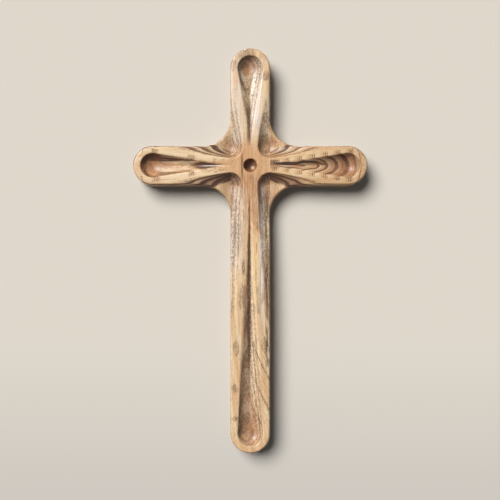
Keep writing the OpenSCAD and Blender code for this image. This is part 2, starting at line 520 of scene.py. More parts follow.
# %% A small language for shader nodes
class Wire:
    """One output socket of a node tree, with arithmetic."""

    def __init__(self, tree, socket=None):
        self.tree, self.socket = tree, socket

    def node(self, kind, settings=None, sockets=None, output=0):
        """Adds a node: its settings first, then a value or a wire for each socket."""
        made = self.tree.nodes.new(kind)
        for key, value in (settings or {}).items():
            setattr(made, key, value)
        for key, value in (sockets or {}).items():
            if isinstance(value, Wire):
                self.tree.links.new(value.socket, made.inputs[key])
            else:
                made.inputs[key].default_value = value
        return Wire(self.tree, made.outputs[output])

    def math(self, operation, *values):
        return self.node("ShaderNodeMath", {"operation": operation}, dict(enumerate(values)))

    def __add__(self, other):
        return self.math("ADD", self, other)

    def __sub__(self, other):
        return self.math("SUBTRACT", self, other)

    def __mul__(self, other):
        return self.math("MULTIPLY", self, other)

    def __truediv__(self, other):
        return self.math("DIVIDE", self, other)

    def __rsub__(self, other):
        return self.math("SUBTRACT", other, self)

    __radd__ = __add__
    __rmul__ = __mul__

    def size(self):
        """Its value without its sign."""
        return self.math("ABSOLUTE", self)

    def most(self, other):
        return self.math("MAXIMUM", self, other)

    def least(self, other):
        return self.math("MINIMUM", self, other)

    def length(self, other):
        """The length of an arrow that goes this far one way and that far across."""
        return self.math("SQRT", self * self + other * other)

    def repeat(self, every):
        """Goes from 0 to 1 again and again, each time over that distance."""
        return self.math("FRACT", self / every)

    def rise(self, low, high):
        """Goes smoothly from 0 at low to 1 at high, and the other way if high is below low."""
        if low > high:
            return 1 - self.rise(high, low)
        sockets = {"Value": self, "From Min": low, "From Max": high}
        return self.node("ShaderNodeMapRange", {"interpolation_type": "SMOOTHSTEP"}, sockets)

    def between(self, start, full, still, end):
        """Rises from start to full, and falls again from still to end."""
        return self.rise(start, full) * self.rise(end, still)

    def near(self, middle, outer, inner):
        """Is 1 within the inner distance of the middle, and 0 beyond the outer one."""
        return (self - middle).size().rise(outer, inner)

    def blend(self, below, above):
        """Lays the colour above over the colour below where this wire, a mask, is 1."""
        settings = {"data_type": "RGBA", "clamp_factor": True}
        return self.node("ShaderNodeMix", settings, {0: self, 6: below, 7: above}, output=2)


# %% Materials and their sockets
def new_material(name):
    """A material with its shader, a wire to start from and its coordinates in millimetres."""
    material = bpy.data.materials.new(name)
    material.use_nodes = True
    start = Wire(material.node_tree)
    place = start.node("ShaderNodeTexCoord", output=3)
    place = start.node("ShaderNodeVectorMath", {"operation": "SCALE"}, {0: place, "Scale": 1 / MM})
    axes = [start.node("ShaderNodeSeparateXYZ", sockets={0: place}, output=i) for i in range(3)]
    return material, material.node_tree.nodes["Principled BSDF"], start, axes


def plug(shader, socket, wire):
    wire.tree.links.new(wire.socket, shader.inputs[socket])


def add_relief(shader, strength, distance, height):
    """A Bump node on the shader's normal, with its distance in millimetres."""
    sockets = {"Strength": strength, "Distance": distance * MM, "Height": height}
    plug(shader, "Normal", height.node("ShaderNodeBump", None, sockets))


print("a wire can", ", ".join(name for name in vars(Wire) if not name.startswith("_")))

# %% [markdown]
# The wood is solid: its pattern is a function of the place inside the block, so every cut shows
# what it would show in a real board. A board knows the ways along and across its grain, and which
# of its places are on the carved front, in a cut, on a steep wall or on the side turned away from
# the light. Marks stop a little below the deepest cut, so the back stays plain. In the cuts the
# wood is darker, partly as soaked-in stain and partly as painted shade.


# %% A board for its shader
class Block:
    """A block of material: ways along and across the grain, and down from the face."""

    def __init__(self, start, along, across, depth, seed):
        self.start, self.along, self.across, self.depth, self.seed = start, along, across, depth, seed

    def noise(self, long, wide, shift, detail=2.0, rough=0.5):
        """Noise whose features are that long along the grain and that wide across it."""
        moved = self.seed + shift
        parts = {0: self.along / long, 1: self.across / wide + moved, 2: self.depth / wide + moved}
        place = self.start.node("ShaderNodeCombineXYZ", sockets=parts)
        sockets = {"Vector": place, "Scale": 1.0, "Detail": detail, "Roughness": rough}
        return self.start.node("ShaderNodeTexNoise", sockets=sockets)


# %% Boards of the cross
class Board(Block):
    """A block of the cross, with its places on the face and the masks that its marks ask for."""

    def __init__(self, start, axes, grain, seed):
        x, y, z = axes
        high, depth = z - CROSSING, y + BOARD
        along, across = (high, x) if grain == "z" else (x.size(), high)
        super().__init__(start, along, across, depth, seed)
        self.x, self.high = x, high
        self.front = depth.rise(8.0, 6.5)
        self.inside = depth.rise(BOARD - 0.1, BOARD - 1.5)
        self.in_cut = depth.rise(0.1, 0.6) * self.inside
        normal = start.node("ShaderNodeNewGeometry", output=1)
        way = [start.node("ShaderNodeSeparateXYZ", sockets={0: normal}, output=i) for i in range(3)]
        self.steep = way[1].rise(-0.95, -0.5) * self.inside
        # The side turned away from the light, which gets painted shade.
        self.shaded_side = (way[0] * 0.7 - way[2] * 0.7).rise(0.1, 0.6) * self.inside
        if grain == "x":
            # An arm's underside is a plain outer edge, which gets none of the stain and painted shade
            # of the cuts.
            bare = 1 - high.rise(-12.7, -13.3) * along.rise(36, 42)
            self.steep, self.shaded_side = self.steep * bare, self.shaded_side * bare
        self.fibre = self.noise(24, 0.6, 5, 3.0, 0.65)
        self.brushed = self.fibre.rise(0.25, 0.55) * 0.35 + 0.65

    def grow_rings(self, ring, warp, band):
        """Part is the place within a growth ring, whose dark early wood is as wide as width."""
        wander = (self.noise(44, 9, 0) - 0.5) * warp + (self.noise(9, 2.2, 7) - 0.5) * (warp * 0.35)
        ring = ring + wander
        self.part = self.start.math("FRACT", ring)
        number = {"W": self.start.math("FLOOR", ring)}
        one_value = {"noise_dimensions": "1D"}
        self.each = self.start.node("ShaderNodeTexWhiteNoise", one_value, number)
        self.width = self.each * 0.1 + band
        self.early = self.part.rise(0.0, 0.07) * ((self.width - self.part) * 8).rise(-1, 1)
        self.late = self.part.near(0.66, 0.07, 0.02) * self.in_cut * 0.5


# %% [markdown]
# The clear wood is a little different in each block. Its marks share a few tones of brown, from
# honey to nearly black, with chalk, white and grey for what has weathered.

# %% Colours of the wood
LEFT_TAN = (0.80, 0.57, 0.33, 1)
RIGHT_TAN = (0.73, 0.48, 0.245, 1)
UPRIGHT_TAN = (0.76, 0.54, 0.31, 1)
PALE = (0.84, 0.68, 0.47, 1)
HONEY = (0.58, 0.26, 0.09, 1)
RUST = (0.26, 0.09, 0.034, 1)
BROWN = (0.066, 0.023, 0.011, 1)
DEEP = (0.052, 0.021, 0.010, 1)
UMBER = (0.21, 0.11, 0.060, 1)
GREY = (0.73, 0.60, 0.50, 1)
HONEY_TAN = (0.86, 0.62, 0.33, 1)
AMBER = (0.86, 0.44, 0.20, 1)
CHALK = (0.82, 0.72, 0.62, 1)
WHITE = (0.95, 0.90, 0.84, 1)
MAHOGANY = (0.42, 0.17, 0.07, 1)
DOWEL_PALE = (0.68, 0.47, 0.27, 1)
DOWEL_DARK = (0.42, 0.26, 0.13, 1)
print(f"clear wood is {LEFT_TAN[0] / BROWN[0]:.0f} times as bright as a ring")

# %% [markdown]
# A growth ring is a thin dark layer. In the arms the layers lie nearly parallel to the face and dip
# towards the arm's end. Where the flat face meets one it shows as a ladder of short ticks, and
# where a cut goes down through it it shows as a long curve. In the upright they are tilted
# sideways, which gives long streaks that run together in the valley. Beyond a flute's rim the
# layers are thinner and lie flat.

# %% Growth rings of each block
FLUTE_SLOPE = 0.158
THIN_RING = 1.35


def past_rim(board):
    """How far a place on an arm lies outside its flute's rim."""
    return board.across.size() - ((board.along - TIP["side"]) * FLUTE_SLOPE).least(BOWL_R)


def scallop_rings(board, ring):
    """The arm's rings, with the thin flat ones past the flute's rim."""
    flat = board.depth.least(7) / THIN_RING + (board.depth - 7).most(0) / 2.6
    return ring + past_rim(board).rise(3.0, 3.4) * (flat - ring)


def left_rings(board):
    along = board.along
    dip = along.rise(14, 30) * 0.6 + (along - 29).most(0) * 0.004 - 0.62
    dip = dip + along.rise(33, 45) + along.rise(58, 72)
    thick = (along - 42).most(0) * 0.072 + 2.6
    return scallop_rings(board, board.depth / thick - dip)


def right_rings(board):
    thick = (board.along - 45).most(0) * 0.2 + 1.9
    return scallop_rings(board, board.depth / thick - board.along * 0.115 + 2.16)


def upright_rings(board):
    away = board.along * board.along * 0.00018
    return (board.depth * 0.9 - board.across * 0.35 + away) / 2.1 + 0.3


# %% [markdown]
# Rings alone would look like any board. What makes this cross itself is its stains and figures, so
# each is drawn by a function where the wood has it; a few marks are painted light and shade. A mark
# is a mask in millimetres, made ragged with noise, and is laid over the colour so far. Both arms
# share the stained scallops with their painted shade, the warm inner corners, the grit in the bowls
# and the line where the last ring crosses the rim.


# %% Marks on both arms
def fold(board):
    """Where a scallop's floor folds: below 0 on the arm's side of it, above 0 on the upright's."""
    return board.high.size() - board.x.size() * 0.39 - 3.8


def inner_corner(board):
    """Distance from where the edges of the upright and an arm would cross."""
    return (board.x.size() - UPRIGHT_HALF).length(board.high.size() - ARM_HALF)


def scallop_stain_and_shade(board, lower, upper):
    """Dark on the arm's side of the scallops, partly stained rings and partly painted shade, with
    its strength below and above the arms. Below the arms the walls face away from the light.
    """
    sunk = board.depth.rise(0.2, 1.5) * fold(board).rise(1.5, -0.5) * inner_corner(board).rise(33, 14)
    return sunk * (board.high.rise(3, -3) * (lower - upper) + upper)


def stroke(high, centre, half):
    """A mask for a line along an arm, with soft edges."""
    return ((high - centre).size() - half).rise(0.35, -0.2)


def end_line(board, clear):
    """The line of the last growth ring, which crosses the flat rim round the bowl. It is left out
    within the clear distance from the arm's axis."""
    high = board.high
    bowed = board.along + high * high * 0.02 - 76.4 + (board.noise(5, 1.5, 53) - 0.5) * 1.2
    broken = board.noise(2.5, 1.4, 55, 1.0).rise(0.35, 0.5) * board.front
    return bowed.size().rise(0.55, 0.15) * broken * high.size().rise(clear, clear + 2) * 0.7


# %% What both arms have
def arm_marks(board, colour, clear):
    """Warm wood in the inner corners with the upright's grain, the stained scallops with painted
    shade that is darkest below the arms and in the inner corner, the grit in the bowl and the last
    ring's line."""
    high, front = board.high, board.front
    corner = fold(board).rise(-0.5, 2.0) * front
    turned = Block(board.start, high, board.x, board.depth, board.seed)
    colour = (corner * (high.rise(-3, 3) * 0.12 + 0.02)).blend(colour, HONEY)
    colour = (corner * high.rise(3, -3) * 0.3).blend(colour, HONEY_TAN)
    colour = (corner * turned.noise(22, 1.3, 57, 3.0).rise(0.45, 0.62) * 0.35).blend(colour, UMBER)
    # Stained rings with painted shade, strongest below the arms and nearest the inner corner.
    stain_and_shade = scallop_stain_and_shade(board, 1.0, 0.35) * front
    colour = (stain_and_shade * 0.45).blend(colour, RUST)
    colour = (stain_and_shade * (inner_corner(board).rise(13, 5) * 0.5 + 0.42)).blend(colour, DEEP)
    bowl = board.along.rise(58, 68) * board.depth.rise(1.2, 3.2) * past_rim(board).rise(0, -1)
    grit = board.noise(3, 1.1, 73, 2.0).rise(0.35, 0.62) * 0.45 + 0.15
    colour = (bowl * grit * front).blend(colour, MAHOGANY)
    return end_line(board, clear).blend(colour, BROWN)


# %% [markdown]
# The left flute has a figure of its own: a dark lens with a thin pale line in its valley, which is a
# painted highlight, two dark lines along its walls, and a dark crescent in its bowl, which is a
# painted shadow.


# %% Marks on the left arm
def flute_lens_and_highlight(board, colour, shown, rough):
    """A warmer, streaked floor, the dark lens, and a pale line along the valley that is a painted
    highlight.
    """
    along, high, past = board.along, board.high, past_rim(board)
    floor = past.rise(-0.3, -1.5) * shown
    colour = (floor * along.rise(58, 66) * 0.35).blend(colour, HONEY)
    colour = (floor * board.noise(9, 1.4, 49, 3.0).rise(0.35, 0.6) * 0.3).blend(colour, UMBER)
    taper = past.most(high.size() - 3.0) + (along - 34).most(0) * 0.3 + rough * 0.6
    lens = taper.rise(0.2, -1.2) * (along + rough).rise(18, 26) * along.rise(48, 34) * shown
    colour = (lens * 0.5).blend(colour, RUST)
    colour = (lens * 0.85).blend(colour, BROWN)
    # A painted highlight as a pale line along the valley.
    valley = high.near(-0.2, 0.65, 0.2) * along.between(14, 22, 28, 37)
    return (valley * shown * 0.7).blend(colour, CHALK)


def wall_lines(board, rough):
    """The lines along the flute's upper and lower wall."""
    along, high = board.along, board.high
    wide = (along - 46).most(0) * 0.08
    upper = stroke(high + rough * 0.2, (along - 38) * 0.04 + 3.5, wide.least(0.9) + 0.35)
    lower = stroke(high + rough * 0.3, (38 - along) * 0.085 - 3.7, wide + 0.25) * 0.55
    return (upper * along.between(35, 39, 68, 73)).most(lower * along.between(35, 39, 61, 66))


def bowl_shadow_and_line(board, rough):
    """A painted shadow as a crescent in the bowl's upper half, and a thin curve in its lower half."""
    along, high = board.along, board.high
    reach = (along - 67.5).length(high)
    painted_shadow_crescent = (reach + rough * 0.5).rise(4.4, 6.0) * along.rise(60, 64) * high.rise(0.0, 2.5)
    curve = (reach + high * 0.45 - 4.8 + rough * 0.3).size().rise(0.9, 0.3)
    return (painted_shadow_crescent * 0.95).most(curve * high.rise(1, -1) * along.rise(61, 66) * 0.6)


def left_arm_marks(board, colour):
    """What both arms have, and the left flute's own figure with its painted shadow and highlight."""
    colour = arm_marks(board, colour, 6)
    shown = board.front * board.depth.rise(0.15, 0.5)
    rough = (board.noise(14, 0.8, 47, 2.0) - 0.5) * 3
    colour = flute_lens_and_highlight(board, colour, shown, rough)
    # The lines along the walls, and the painted shadow in the bowl.
    dark = wall_lines(board, rough).most(bowl_shadow_and_line(board, rough))
    streak = board.noise(9, 0.8, 51, 2.0).rise(0.25, 0.5) * 0.35 + 0.65
    return (dark * streak * shown).blend(colour, BROWN)


# %% [markdown]
# The right flute shows its rings, as curves round the bowl. Its own marks are black lines along
# both walls, and a short ladder on the flat where the arm meets the upright. It gets redder
# towards its end.


# %% Marks on the right arm
def black_lines(board):
    """The lines along both walls, of which the upper one swells, bends up and comes down again."""
    along, high = board.along, board.high
    centre = along.rise(31, 37) * 1.3 - along.rise(44, 52) * 1.7 + 1.3
    half = along.rise(15, 24) * 0.85 - along.rise(32, 38) * 0.3 - along.rise(46, 52) * 0.4 + 0.2
    upper = stroke(high, centre, half) * along.between(14, 18, 50, 54)
    lower = stroke(high, (21 - along) * 0.09 - 0.9, 0.3) * along.between(17, 21, 33, 37)
    return upper.most(lower * 0.85)


def right_arm_marks(board, colour):
    """What both arms have, and the right flute's own marks."""
    along, high, front = board.along, board.high, board.front
    colour = arm_marks(board, colour, -3)
    streak = board.noise(12, 0.7, 47, 2.0).rise(0.25, 0.5) * 0.3 + 0.7
    ladder = along.repeat(1.5).rise(0.1, 0.25) * high.between(-2.4, -1.8, 3.6, 4.2)
    ladder = ladder * along.rise(20.5, 20) * (high.rise(-1, 1) * 0.35 + 0.35)
    colour = (ladder * streak * front).blend(colour, BROWN)
    colour = (black_lines(board) * streak * front).blend(colour, DEEP)
    colour = (along.rise(36, 76) * 0.19).blend(colour, RUST)
    colour = (high.rise(-7, -9) * front * 0.1).blend(colour, RUST)
    sunk = board.depth.rise(0.6, 2.5) * past_rim(board).rise(0.4, -0.6)
    return (sunk * front * 0.33).blend(colour, RUST)

# %% [markdown]
# The upright is the most varied piece. Its marks lie over each other in a fixed order, from tones and
# stains to single lines, grit and warm patches, with some painted highlights and shade among them.
# The stains and patches are small tables, because they differ only in place, size and strength.

# %% Stains and tones of the upright
STAINS = [
    (-8.5, -48, 4.0, 17, 0.40),
    (-4.6, -71, 1.2, 6, 0.70),
    (-5.0, -91, 3.2, 10, 0.55),
    (6.2, -92, 2.2, 11, 0.70),
    (11.6, -79, 1.7, 12, 0.65),
    (-9.5, -126, 2.6, 6, 0.55),
    (10.0, -124, 2.6, 6, 0.55),
    (12.0, -136, 1.2, 4, 0.75),
    (-10.5, -154, 2.6, 3.5, 0.60),
    (-10.8, -175, 2.2, 2, 0.60),
    (10.8, 62, 2.4, 4, 0.75),
    (-9.0, 30, 4.0, 11, 0.12),
    (6.0, 29, 2.4, 6, 0.35),
    (-4.0, 78, 8.0, 4.5, 0.50),
    (-12.0, 70, 2.0, 5.0, 0.35),
]


def speckled_stains(board, colour):
    """Each stain has its middle across and up, its half sizes and its strength."""
    rough = board.noise(7, 1.6, 71, 3.0) * 1.8 - 0.9
    dots = board.noise(2.0, 0.6, 73, 1.0).rise(0.47, 0.56)
    lines = board.noise(11, 0.5, 79, 1.0).rise(0.5, 0.6)
    covered = 0
    for middle, level, half, tall, strength in STAINS:
        inside = ((board.x - middle) / half).length((board.high - level) / tall) + rough
        covered = (inside.rise(1.15, 0.6) * strength).most(covered)
    covered = covered * board.front
    colour = (covered * 0.32).blend(colour, RUST)
    return (covered * dots.most(lines) * 0.95).blend(colour, BROWN)


# %% Tones beside the crossing
def pale_side(board, colour):
    """The left half is chalky above and below the crossing, and the foot's end is warmer."""
    beside = board.x.rise(-3.5, -6) * board.high.size().between(12, 18, 62, 80) * board.front
    colour = (beside * board.off_joint * 0.42).blend(colour, CHALK)
    return (board.high.rise(-184, -194) * board.front * 0.3).blend(colour, HONEY)


def crossing_lines(board, colour):
    """Fine lines and warm wood below the hollow, and the dark seam to the left of it."""
    x, high, front = board.x, board.high, board.front
    column = x.size().rise(8, 5) * high.between(-48, -34, -9, -3) * front
    lines = board.noise(11, 0.5, 67, 2.0).rise(0.43, 0.55) * 0.6
    colour = (column * lines).blend(colour, RUST)
    below = x.size().rise(5.5, 1.5) * high.between(-66, -40, -16, -10) * front
    colour = (below * 0.26).blend(colour, HONEY)
    seam = x.near(-5.7, 1.0, 0.4) * high.size().rise(11, 6) * front
    return (seam * board.noise(5, 0.5, 69).rise(0.35, 0.5) * 0.75).blend(colour, BROWN)


# %% Scallops with painted shade, and pale walls with a painted highlight
def scallop_layers(board, colour):
    """Thin dark layers in the scallops, stronger below the arms as painted shade, and painted shade
    in the nook just under each arm's edge.
    """
    beyond, front = board.x.size(), board.front
    # Thin dark layers with painted shade, far stronger below the arms than above.
    stain_and_shade = scallop_stain_and_shade(board, 0.85, 0.08) * beyond.rise(5.5, 8) * front * board.off_joint
    layer = board.depth.repeat(THIN_RING).between(0.0, 0.1, 0.45, 0.55)
    colour = (stain_and_shade * board.broken * (layer * 0.5 + 0.5)).blend(colour, DEEP)
    # Painted shade just under each arm's edge.
    painted_shade_nook = beyond.rise(6.5, 8.0) * board.high.between(-15.5, -11.5, -6, -4)
    return (painted_shade_nook * board.depth.rise(0.5, 1.8) * front * 0.6).blend(colour, BROWN)


def painted_sheen_and_pale_walls(board, colour):
    """The right wall of the head's flute, which faces the light and is paled as a painted highlight,
    with a honey patch beside it, and the foot's right wall, which is pale from a slanting amber
    edge on."""
    x, high, front = board.x, board.high, board.front
    # The head's right wall faces the light: the chalk on it is a painted highlight.
    wall = x.between(0.4, 1.6, 7.5, 9.5) * high.between(14, 30, 70, 76) * front
    colour = (wall * (board.streak.rise(0.6, 0.35) * 0.45 + 0.35)).blend(colour, CHALK)
    patch = ((x - 9.5) / 1.8).length((high - 46) / 13).rise(1.1, 0.7) * front
    colour = (patch * 0.5).blend(colour, HONEY_TAN)
    under = (x - 1.0) * -1.4 - high - 39
    wall = x.between(0.1, 0.9, 5.8, 6.8) * high.rise(-112, -84) * front * 0.5
    colour = (wall * under.rise(0, 1)).blend(colour, HONEY_TAN)
    return (wall * under.between(-1, 0.5, 1, 6)).blend(colour, AMBER)


# %% [markdown]
# The grey streak is weathered wood, which has lost its colour between hard dark fibres. The lines
# after it are where a ring is cut lengthwise: along both valleys, along the foot's right edge, and
# down the left wall of the head's flute.


# %% Lines of the upright
def grey_streak(board, colour):
    """The streak right of the middle, with hairs, bright fibres and darker flanks."""
    x, high, front = board.x, board.high, board.front
    sway = board.noise(40, 9, 33) * 1.4 - 0.7
    hair = board.noise(30, 0.4, 85, 2.0)
    lower = x.near(sway + 7.9, 2.3, 1.0) * high.between(-128, -90, -17, -10)
    upper = x.near(sway * 0.6 + 11.6, 2.4, 1.0) * high.between(18, 26, 44, 56) * 0.8
    zone = (lower + upper) * front * board.off_joint
    colour = (zone * (hair.rise(0.4, 0.6) * 0.7 + 0.2)).blend(colour, GREY)
    colour = (zone * hair.rise(0.48, 0.38) * 0.45).blend(colour, BROWN)
    bright = x.near(sway + 7.9, 1.9, 1.1) * hair.rise(0.46, 0.54) * front
    colour = (bright * high.between(-92, -70, -20, -14) * 0.7).blend(colour, WHITE)
    flanks = (x - sway - 7.6).size().between(1.5, 2.6, 3.4, 4.6)
    flanks = flanks * high.between(-118, -86, -20, -10)
    thin = board.noise(12, 0.7, 83, 3.0).rise(0.5, 0.6)
    return ((zone * 0.3 + flanks * 0.6) * thin * front).blend(colour, BROWN)


# %% Valleys and edges
def dark_lines(board, colour):
    """The foot's right edge, both valleys, and the line down the head's left wall."""
    x, high = board.x, board.high
    sway = (board.noise(18, 4, 97) - 0.5) * 2
    frayed = (board.noise(4, 0.7, 101, 2.0) - 0.5) * 1.8
    edge = (x - 11.4 + sway).size().rise(1.2, 0.4) * high.between(-146, -128, -24, -14)
    edge = edge * board.noise(8, 0.8, 99, 2.0).rise(0.3, 0.5) * 0.85
    half = high.rise(-30, -62) * 0.75 + 0.1
    foot = ((x + 0.8 + sway * 0.4).size() - half + frayed).rise(0.7, 0.0)
    foot = foot * high.between(-168, -112, -30, -20)
    head = x.near(-0.8, 2.1, 0.8) * high.between(12, 20, 36, 50) * 0.8
    fall = (x + (high - 62.6) * 0.365 + 7.8).size().rise(0.8, 0.2)
    fall = fall * high.between(38, 44, 58, 64) * 0.6
    dark = edge.most(foot).most(head).most(fall) * board.broken * board.front
    return (dark * 0.9).blend(colour, BROWN)


# %% Slanting grain and a painted highlight
def slanting_grain(board, colour):
    """Grain that slants down to the right, in the right half near the foot's end."""
    x, high = board.x, board.high
    slant = high + x * 2.1 + board.noise(14, 5, 87) * 5
    strong = slant.repeat(-21.5).near(0.5, 0.09, 0.02) * 0.75
    weak = slant.repeat(-5.4).near(0.5, 0.16, 0.04) * 0.3
    lines = (strong + weak) * x.rise(1.5, 4.5) * high.between(-186, -176, -124, -114) * board.front
    dots = board.noise(2.2, 0.7, 91, 1.0).rise(0.36, 0.5)
    return (lines * dots * board.streak.rise(0.2, 0.5)).blend(colour, BROWN)


def brown_zone(board, colour):
    """Browner wood left of the foot's valley. It widens downwards and has a ragged edge."""
    x, high = board.x, board.high
    ragged = board.noise(16, 2.5, 95, 3.0) * 4 - 2
    zone = (x + 4.9 - (high + 86) * 0.043 + ragged).rise(-0.6, 0.6) * x.rise(0.3, -0.3)
    return (zone * high.between(-176, -160, -92, -70) * board.front * 0.36).blend(colour, RUST)


def painted_highlight_crest(board, colour):
    """A painted highlight on the arris to the right of the head's flute."""
    # White painted along the arris as its highlight.
    highlight_line = (board.x + (board.high - 45) * -0.13 - 6.3).size().rise(0.55, 0.15)
    return (highlight_line * board.high.between(26, 32, 58, 63) * board.front * 0.8).blend(colour, WHITE)


# %% Grit and warm patches of the upright
WARM = [
    (-1.7, 66, 1.0, 0.7, 4.2, 1.8, 1.0),
    (0.0, -183, 1.0, 1.0, 4.5, 2.0, 1.0),
    (-9.6, 60, 1.0, 0.3, 2.2, 0.8, 0.8),
    (11.3, 66.5, 1.2, 0.5, 2.0, 0.8, 1.0),
    (7.2, 77.4, 1.0, 1.2, 2.4, 1.0, 1.0),
]


def grit_in_cuts(board, colour):
    """Pale and dark grit in all cuts, and redder wood in both bowls."""
    grit, sunk = board.noise(1.1, 0.5, 89, 1.0), board.depth.rise(0.8, 2.0) * board.front
    colour = (grit.rise(0.56, 0.64) * sunk * 0.4).blend(colour, CHALK)
    colour = (grit.rise(0.44, 0.36) * sunk * 0.55).blend(colour, DEEP)
    bowls = board.high.rise(-165, -178) + board.high.rise(62, 70)
    return (bowls * board.depth.rise(1.0, 3.0) * board.front * 0.4).blend(colour, MAHOGANY)


def warm_patches(board, colour):
    """Each patch has its middle, its squeeze across and up, its outer and inner size and its
    strength."""
    warm = 0
    for middle, level, across, up, outer, inner, strength in WARM:
        away = ((board.x - middle) * across).length((board.high - level) * up)
        warm = away.rise(outer, inner) * strength + warm
    broken = board.noise(4, 2, 77, 2.0).rise(0.3, 0.6)
    return (warm * broken * board.front * 0.6).blend(colour, AMBER)


# %% Order of the marks
UPRIGHT_MARKS = [pale_side, speckled_stains, crossing_lines, scallop_layers, painted_sheen_and_pale_walls]
UPRIGHT_MARKS += [grey_streak, dark_lines, slanting_grain, brown_zone, painted_highlight_crest]
UPRIGHT_MARKS += [grit_in_cuts, warm_patches]


def upright_marks(board, colour):
    """All marks of the upright. Long streaks break many of them up, and paint stays off the joints."""
    x, high = board.x.size(), board.high.size()
    board.streak = board.noise(26, 0.8, 31, 2.0)
    board.broken = board.streak.rise(0.2, 0.5) * 0.45 + 0.55
    board.off_joint = 1 - x.rise(9.5, 13.6) * high.rise(40, 33) * high.rise(17, 22)
    for mark in UPRIGHT_MARKS:
        colour = mark(board, colour)
    return colour


print(len(UPRIGHT_MARKS), "kinds of mark on the upright, with", len(STAINS), "stains")

# %% [markdown]
# Next come the fine lines. An arm's rings show as lines in its cuts and as ladders on the flat, but
# not where its flute has a figure of its own. Open pores are small dark spots, most of them in the
# early wood of a ring.


# %% Lines and pores
def ladders(board, ticks):
    """Short ticks across the flat rim, which fade in along the arm and end before its end line."""
    tick = board.start.math("FRACT", board.along / 1.3 + board.fibre * 0.6)
    tick = tick.between(0.0, 0.12, 0.45, 0.62) * board.along.rise(*ticks) * board.along.rise(77, 75)
    return tick * past_rim(board).rise(2.9, 2.6) * board.front * 0.85


def arm_lines(board, ticks, own):
    """Lines and pores of an arm."""
    along, high, front, past = board.along, board.high, board.front, past_rim(board)
    weak = (1 - high.rise(-4, 2)) * 0.5
    weak = (1 - along.rise(54, 62) * weak * past.rise(0.5, -0.5)) * (1 - along.rise(66, 72) * 0.45)
    lower = past.rise(2.9, 3.5) * high.rise(2, -2)
    lines = board.early * board.brushed.most(lower) * weak * board.in_cut
    lines = lines + board.early * (1 - board.in_cut) * ladders(board, ticks)
    lines = lines.most(board.late * (1 - lower)) * (board.each * 0.25 + 0.75).most(lower)
    figure = past.rise(0.1, -0.3) * along.rise(own + 2, own)
    joint = past.rise(2.9, 3.5) * high.rise(-2, 2) * along.rise(20, 14)
    lines = lines * (1 - fold(board).rise(0, 2)) * front * (1 - figure) * (1 - joint * 0.7)
    sawn = board.noise(60, 2.2, 93, 2.0).rise(0.5, 0.6) * (1 - front)
    pores = board.noise(1.9, 0.55, 3, 1.0) + board.early * 0.06
    return lines + sawn * 0.25, pores.rise(0.62, 0.68) * (board.early * 0.5 + 0.3)


def upright_lines(board):
    """Lines and pores of the upright, whose pores come in patches."""
    lines = board.early * (board.each * 0.4 + 0.25) * board.brushed * (board.in_cut * 0.42 + 0.12)
    patch = board.noise(16, 5, 61).rise(0.5, 0.66) * 0.1 - 0.02
    # More pores are painted on the side turned away from the light, as painted shade.
    pores = board.noise(1.9, 0.55, 3, 1.0) + board.early * 0.08 + board.shaded_side * 0.08 + patch
    return lines, pores.rise(0.58, 0.66) * (board.in_cut * 0.45 + 0.35)


# %% [markdown]
# The finish is laid on in this order: clear wood, marks, soaked-in stain with painted shade,
# lines and pores, and the round hollow with its painted shade and light. Light that has already
# bounced meets darker wood, which keeps the cuts as deep as real ones look. The wood is oiled, so
# it has a thin coat over a rougher surface, and its pores and lines are slightly sunk.


# %% Wood finish
def clear_wood(board, tan, fringe):
    """The bare colour, with honey round the crossing and beside each dark line."""
    part = board.part
    colour = (part.rise(0.35, 0.9) * 0.4).blend(tan, PALE)
    colour = (board.noise(34, 8, 11).rise(0.5, 0.7) * 0.4).blend(colour, HONEY)
    colour = (part.between(0.25, 0.42, 0.5, 0.7) * 0.3).blend(colour, HONEY)
    colour = (board.x.length(board.high).rise(26, 8) * board.inside * 0.6).blend(colour, HONEY)
    colour = (board.fibre.rise(0.48, 0.72) * 0.35).blend(colour, UMBER)
    colour = (board.noise(13, 0.32, 17, 2.0).rise(0.55, 0.72) * 0.3).blend(colour, UMBER)
    beside = ((board.width - part) * 4).rise(-1, 0.4) * board.in_cut
    return (beside * (1 - fold(board).rise(-1, 1)) * fringe).blend(colour, HONEY)


def stain_and_painted_shade(board, colour, sunk):
    """Rust on steep walls, partly stained end grain and partly painted shade, brown painted shade on
    the side turned away from the light, and more rust as painted shade in the deepest places.
    """
    colour = (board.steep * sunk).blend(colour, RUST)
    colour = (board.shaded_side * sunk * 0.8).blend(colour, BROWN)
    return (board.depth.rise(3.2, 5.0) * board.inside * 0.4).blend(colour, RUST)


def hollow_stain_and_painted_light(board, colour):
    """The hollow is stained all over; its dark bottom, set a little to the upper left, is painted
    shade, and the lighter spot at its lower right is painted light.
    """
    x, high = board.x, board.high
    inside = x.length(high).rise(4.9, 4.2) * board.front
    colour = (inside * 0.8).blend(colour, RUST)
    # Painted shade in the bottom of the hollow, a little to the upper left.
    shaded_core = (x + 1.0).length(high - 0.2).rise(3.9, 1.4)
    colour = (inside * (board.depth.rise(1.0, 4.0) * 0.5).most(shaded_core * 0.9)).blend(colour, BROWN)
    # Painted light: a lighter spot at the lower right, where the light falls.
    painted_lit_spot = (x - 2.0).length(high + 1.6).rise(1.9, 0.6)
    return (inside * painted_lit_spot * 0.5).blend(colour, RIGHT_TAN)


